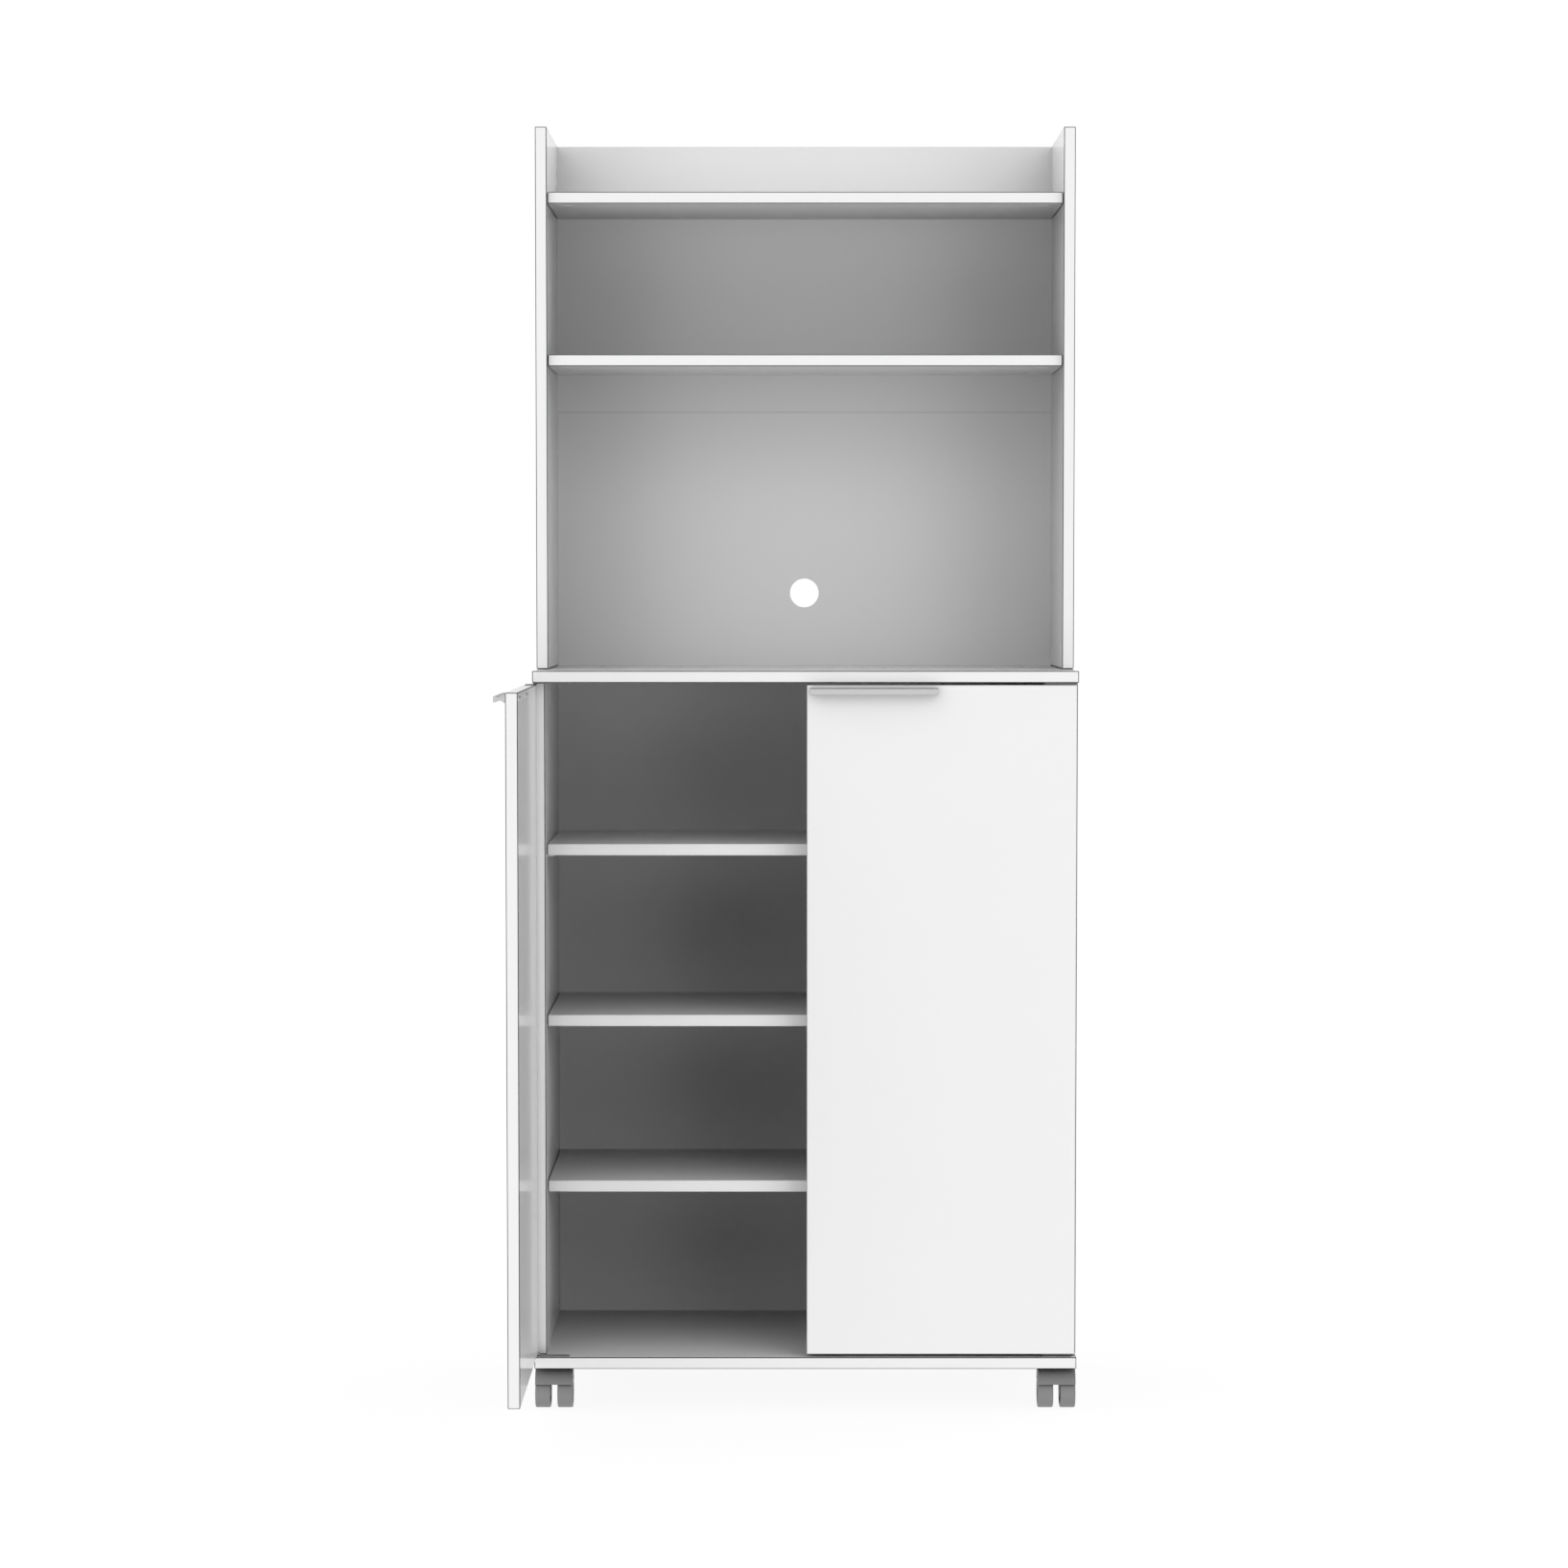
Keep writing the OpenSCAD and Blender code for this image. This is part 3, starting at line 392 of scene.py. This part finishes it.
cable_hole = next(m for m in record["mounts"] if m["name"] == "cable_hole")
low_joint = (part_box("hutch_lower_back")[0].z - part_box("lower_back")[1].z) / 2
high_joint = (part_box("hutch_upper_back")[0].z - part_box("hutch_lower_back")[1].z) / 2
back_sheet("lower_back", above=low_joint)
back_sheet("hutch_lower_back", below=low_joint, above=high_joint, hole=cable_hole)
back_sheet("hutch_upper_back", below=high_joint)


# Handles. Lengths of an extruded aluminium profile with a foot, a thin web and a lip, satin anodised over
# fine brush marks. The foot lies on the door's face and is held by two screws from inside.
ALUMINIUM = (0.62, 0.62, 0.625, 1)
BRUSH_ACROSS, BRUSH_ALONG = 300, 4
HANDLE_EDGE = 0.0004
SHARP_ANGLE = 30
WELD_DISTANCE = 1e-5


def cad_copy(name):
    """A bmesh copy of a CAD piece, with its doubles merged and its flat faces whole."""
    bm = bmesh.new()
    bm.from_mesh(nodes[name].data)
    bmesh.ops.remove_doubles(bm, verts=bm.verts[:], dist=WELD_DISTANCE)
    bmesh.ops.dissolve_limit(bm, angle_limit=radians(1), verts=bm.verts[:], edges=bm.edges[:])
    return bm


def rounded(name, radius, material):
    """A copy of a CAD piece with its sharp edges rounded over, which takes the piece's place."""
    bm = cad_copy(name)
    for face in bm.faces:
        face.smooth = True
        face.material_index = 0
    sharp = [e for e in bm.edges if e.is_manifold and e.calc_face_angle() > radians(SHARP_ANGLE)]
    bmesh.ops.bevel(bm, geom=sharp, offset=radius, offset_type="OFFSET", segments=2, profile=0.5,
                    affect="EDGES", material=-1, clamp_overlap=True)
    piece = show(bm, name + "_piece", [material], name)
    weighted = piece.modifiers.new("even_shading", "WEIGHTED_NORMAL")
    weighted.keep_sharp = True


for side, brush in (("left", (BRUSH_ACROSS, BRUSH_ALONG, BRUSH_ACROSS)),
                    ("right", (BRUSH_ALONG, BRUSH_ACROSS, BRUSH_ACROSS))):
    brushed = finish(f"{side}_brushed_aluminium", ALUMINIUM, roughness=0.34, metallic=1.0, mottling=0.03,
                     grain=4, stretch=brush, gloss_change=0.16, relief=0.00001)
    rounded(f"{side}_handle", HANDLE_EDGE, brushed)


# Handle screws. Zinc-plated steel with a pan head and a pressed cross recess, driven through the door
# from its inner face, two to a handle.
ZINC = (0.60, 0.61, 0.63, 1)
RECESS_ARM, RECESS_WIDTH, RECESS_DEPTH = 0.0019, 0.0009, 0.0011
RECESS_TAPER = 0.55
zinc = finish("zinc_plate", ZINC, roughness=0.42, metallic=1.0, mottling=0.2, grain=700, gloss_change=0.2,
              relief=0.00001)


def cross_recessed(name, facing):
    """A copy of these CAD screws with a cross recess in the heads, which face this way. The cross is
    what stays of a grid of three by three cells without its corners, sunk and made narrower below."""
    bm = cad_copy(name)
    reach = max(v.co.dot(facing) for v in bm.verts)
    turn = UP.rotation_difference(facing).to_matrix().to_4x4()
    for top in [f for f in bm.faces if all(reach - v.co.dot(facing) < WELD_DISTANCE for v in f.verts)]:
        centre = top.calc_center_median()
        rim = top.edges[:]
        bmesh.ops.delete(bm, geom=[top], context="FACES_ONLY")
        grid = bmesh.ops.create_grid(bm, x_segments=3, y_segments=3, size=1)["verts"]
        for vert in grid:
            vert.co.x, vert.co.y = (
                (RECESS_ARM if abs(way) > 0.5 else RECESS_WIDTH / 2) * (1 if way > 0 else -1)
                for way in (vert.co.x, vert.co.y))
        cells = list(dict.fromkeys(f for v in grid for f in v.link_faces))
        corners = [f for f in cells if all(abs(way) > RECESS_WIDTH / 2 for way in f.calc_center_median().xy)]
        bmesh.ops.delete(bm, geom=corners, context="FACES")
        cross = [f for f in cells if f.is_valid]
        sunk = bmesh.ops.extrude_face_region(bm, geom=cross)["geom"]
        deep = [v for v in sunk if isinstance(v, bmesh.types.BMVert)]
        bmesh.ops.scale(bm, verts=deep, vec=(RECESS_TAPER, RECESS_TAPER, 1))
        bmesh.ops.translate(bm, verts=deep, vec=(0, 0, -RECESS_DEPTH))
        bmesh.ops.delete(bm, geom=cross, context="FACES")
        mouth = [v for v in grid if v.is_valid]
        bmesh.ops.transform(bm, matrix=Matrix.Translation(centre) @ turn, verts=mouth + deep)
        edges = list(dict.fromkeys(e for v in mouth for e in v.link_edges if e.is_boundary))
        bmesh.ops.triangle_fill(bm, edges=rim + edges, use_beauty=True, normal=facing)
    bmesh.ops.recalc_face_normals(bm, faces=bm.faces[:])
    show(bm, name + "_heads", [zinc], name)


cross_recessed("left_handle_screws", RIGHT)
cross_recessed("right_handle_screws", REAR)


# Casters. Twin-wheel furniture casters. A hood of grey plastic, moulded in one with the arms for the stub
# axles, turns over its two plain wheels under a zinc-plated plate, screwed to the base panel from below.
HOOD_GREY = (0.205, 0.205, 0.205, 1)
WHEEL_GREY = (0.235, 0.235, 0.235, 1)
HOOD_EDGE, WHEEL_EDGE = 0.0005, 0.0004
hood_plastic = finish("caster_hood", HOOD_GREY, roughness=0.5, mottling=0.05, grain=2200, relief=0.00003)
wheel_plastic = finish("caster_wheel", WHEEL_GREY, roughness=0.42, mottling=0.06, grain=1500, relief=0.00002)
for caster in [f"{row}_{side}_caster" for row in ("front", "rear") for side in ("left", "right")]:
    rounded(caster + "_housing", HOOD_EDGE, hood_plastic)
    for side in ("left", "right"):
        rounded(f"{caster}_{side}_wheel", WHEEL_EDGE, wheel_plastic)
cross_recessed("caster_screws", DOWN)


# Small hardware. Cam locks and bolts, shelf pins, nails, caster plates and axles are zinc-plated steel,
# the knife hinges with their pins and screws phosphated steel, their washers nylon, the dowels beech.
# All of them keep their CAD meshes.
# The hinges' dark grey is partly painted shade: it is kept dark so that the hinge leaves in the door gaps
# show as the gaps' shade.
HINGE_GREY_AND_GAP_SHADE = (0.28, 0.28, 0.285, 1)
BEECH = (0.55, 0.37, 0.20, 1)
NYLON = (0.80, 0.79, 0.74, 1)
phosphated = finish("phosphated_steel", HINGE_GREY_AND_GAP_SHADE, roughness=0.45, specular=0.5, mottling=0.3,
                    grain=1800, relief=0.00002)
beech = finish("beech", BEECH, roughness=0.6, mottling=0.3, grain=900, stretch=(0.2, 1, 1), relief=0.00005)
nylon = finish("nylon", NYLON, roughness=0.45, grain=900)
hardware = {"zinc_steel": zinc, "phosphated_steel": phosphated, "beech": beech, "white_nylon": nylon}
for part in record["subparts"]:
    if part["material_slot"] in hardware:
        materials = nodes[part["node"]].data.materials
        materials.clear()
        materials.append(hardware[part["material_slot"]])


# Studio. A tent of soft light, as round a product on a light table: brightest in front, with a dim patch
# behind the camera and soft boxes high at both sides, and a white floor that only the camera sees, with
# the object's shadow kept pale on it. The camera has the photograph's height and angle.
FLOOR_SIZE = 60
FLOOR_GLOW, FLOOR_GLOW_STRENGTH = 0.91, 1.02
TENT_LEVEL, FRONT_LIGHT = 0.39, 1.29
PATCH_DIMMING, PATCH_EDGE, PATCH_CORE = 1.36, 34, 12
HIGH_SIDE_LIGHT, HIGH_FRONT_DIMMING = 2.0, 1.0
MIRRORED_OVERHEAD = 0.08
LENS_PIXELS, PHOTO_PIXELS, SENSOR_WIDTH = 4033, 1635, 36
CAMERA_PLACE = (-0.0276, -4.949, 1.076)
CAMERA_DROP = 3.056


def floor_material():
    """White, mostly lit by itself, so that the shadow on it stays pale. Only the camera sees it."""
    material = bpy.data.materials.new("floor_white")
    material.use_nodes = True
    tree = material.node_tree
    tree.nodes.remove(tree.nodes["Principled BSDF"])
    painted = add_node(tree, "BsdfDiffuse", {"Color": (0.95, 0.95, 0.95, 1)})
    glow = add_node(tree, "Emission", {"Color": (1, 1, 1, 1), "Strength": FLOOR_GLOW_STRENGTH})
    both = add_node(tree, "MixShader", {0: FLOOR_GLOW, 1: painted.outputs[0], 2: glow.outputs[0]})
    clear = add_node(tree, "BsdfTransparent", {})
    path = add_node(tree, "LightPath", {})
    seen = add_node(tree, "MixShader", {0: path.outputs["Is Camera Ray"], 1: clear.outputs[0],
                                        2: both.outputs[0]})
    tree.links.new(seen.outputs[0], tree.nodes["Material Output"].inputs["Surface"])
    return material


def tent_light(sky):
    """The light of the tent in every direction, as a socket of the world's node tree."""
    def calculate(operation, *values):
        return add_node(sky, "Math", dict(enumerate(values)), operation=operation).outputs[0]

    direction = add_node(sky, "TexCoord", {})
    x, y, z = add_node(sky, "SeparateXYZ", {0: direction.outputs["Generated"]}).outputs
    sideways = calculate("ABSOLUTE", x)
    above = calculate("MAXIMUM", z, 0.0)
    in_front = calculate("MAXIMUM", calculate("MULTIPLY", y, -1.0), 0.0)
    patch = add_node(sky, "MapRange", {"Value": in_front, "From Min": cos(radians(PATCH_EDGE)),
                                       "From Max": cos(radians(PATCH_CORE))},
                     interpolation_type="SMOOTHSTEP").outputs[0]
    total = TENT_LEVEL
    for part, light in ((in_front, FRONT_LIGHT), (patch, -PATCH_DIMMING),
                        (calculate("MULTIPLY", above, sideways), HIGH_SIDE_LIGHT),
                        (calculate("MULTIPLY", above, in_front), -HIGH_FRONT_DIMMING)):
        total = calculate("MULTIPLY_ADD", part, light, total)
    return total


bm = bmesh.new()
bmesh.ops.create_grid(bm, x_segments=1, y_segments=1, size=FLOOR_SIZE / 2)
floor_mesh = bpy.data.meshes.new("floor")
bm.to_mesh(floor_mesh)
bm.free()
floor_mesh.materials.append(floor_material())
floor = bpy.data.objects.new("floor", floor_mesh)
bpy.context.scene.collection.objects.link(floor)

scene = bpy.context.scene
world = bpy.data.worlds.new("studio")
scene.world = world
world.use_nodes = True
sky = world.node_tree
path = add_node(sky, "LightPath", {})
height = add_node(sky, "SeparateXYZ", {0: add_node(sky, "TexCoord", {}).outputs["Generated"]}).outputs[2]
mirrored = add_node(sky, "MapRange", {"Value": height, "To Min": 1.0, "To Max": MIRRORED_OVERHEAD})
lit = add_node(sky, "Mix", {0: path.outputs["Is Glossy Ray"], 2: tent_light(sky), 3: mirrored.outputs[0]},
               data_type="FLOAT")
strength = add_node(sky, "Mix", {0: path.outputs["Is Camera Ray"], 2: lit.outputs[0], 3: 1.0},
                    data_type="FLOAT")
background = sky.nodes["Background"]
background.inputs["Color"].default_value = (1, 1, 1, 1)
sky.links.new(strength.outputs[0], background.inputs["Strength"])

camera = bpy.data.objects.new("camera", bpy.data.cameras.new("camera"))
camera.data.sensor_width = SENSOR_WIDTH
camera.data.lens = SENSOR_WIDTH * LENS_PIXELS / PHOTO_PIXELS
camera.location = CAMERA_PLACE
camera.rotation_euler = (radians(90 - CAMERA_DROP), 0, 0)
scene.collection.objects.link(camera)
scene.camera = camera
scene.view_settings.view_transform = "Standard"
scene.cycles.diffuse_bounces = 1
